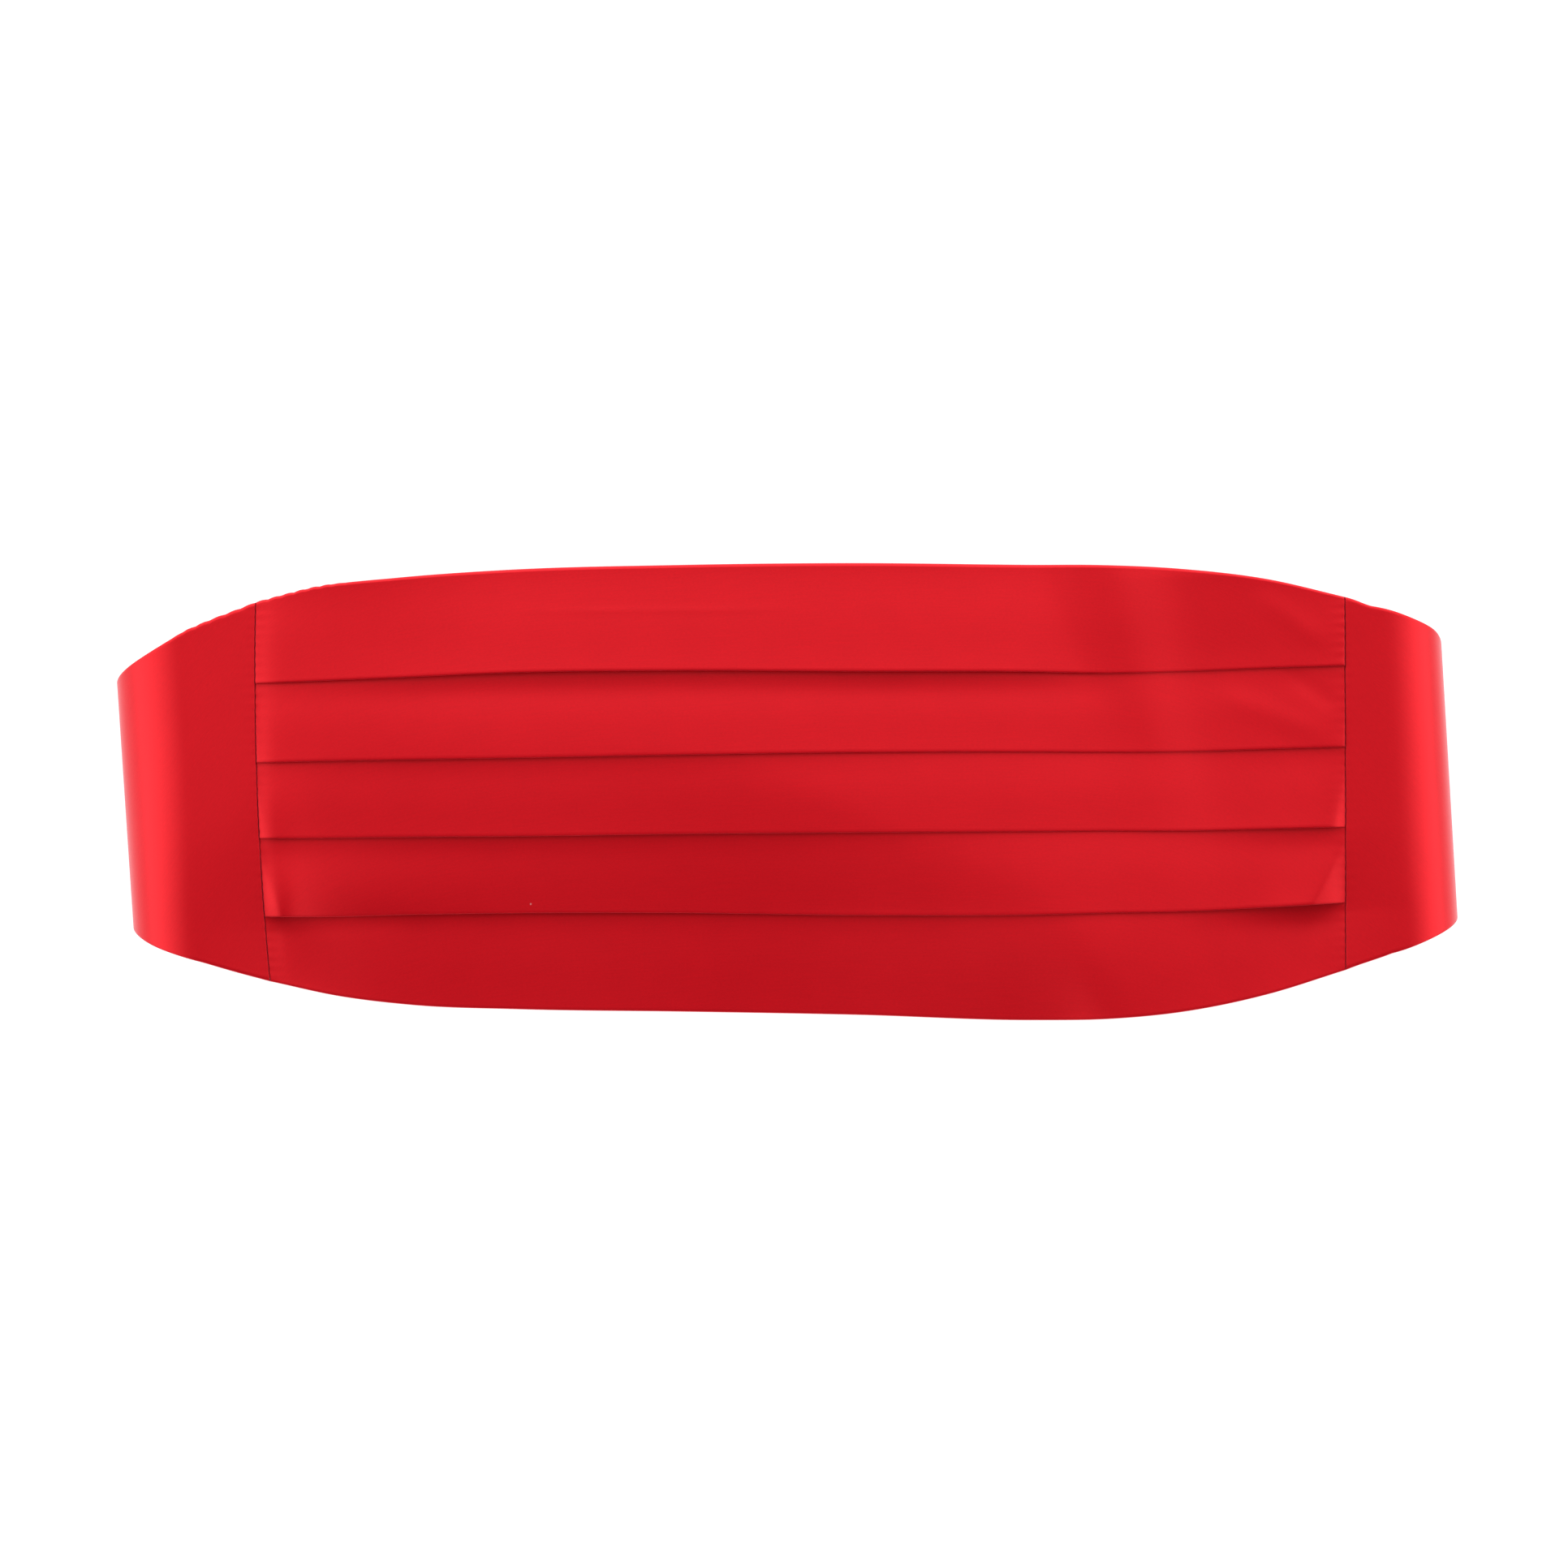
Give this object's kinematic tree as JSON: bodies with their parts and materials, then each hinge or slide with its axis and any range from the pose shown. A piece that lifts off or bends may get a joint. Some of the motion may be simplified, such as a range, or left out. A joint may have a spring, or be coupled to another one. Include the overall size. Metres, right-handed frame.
{
  "type": "cummerbund",
  "caption": "Satin cummerbund with lengthwise pleats on its front, plain end panels bent round behind and an elastic strap with a flat clasp, lying fastened as a low open loop.",
  "frame": {"origin": "bottom centre of the whole part's bounding box, on the surface it lies on", "axes": "+X along the waist to the right as seen from the front, +Y toward the upper edge, +Z out of the pleated front, away from the surface"},
  "size_m": [0.374, 0.1292, 0.0407],
  "materials": {
    "satin": "red polyester satin with a fine crosswise sheen",
    "elastic": "matte red woven elastic",
    "clasp_metal": "plain nickel-coloured metal"
  },
  "bodies": {
    "root": {"pleated_front": "satin", "left_end_panel": "satin", "right_end_panel": "satin", "left_strap": "elastic", "right_strap": "elastic", "clasp": "clasp_metal"}
  },
  "joints": []
}
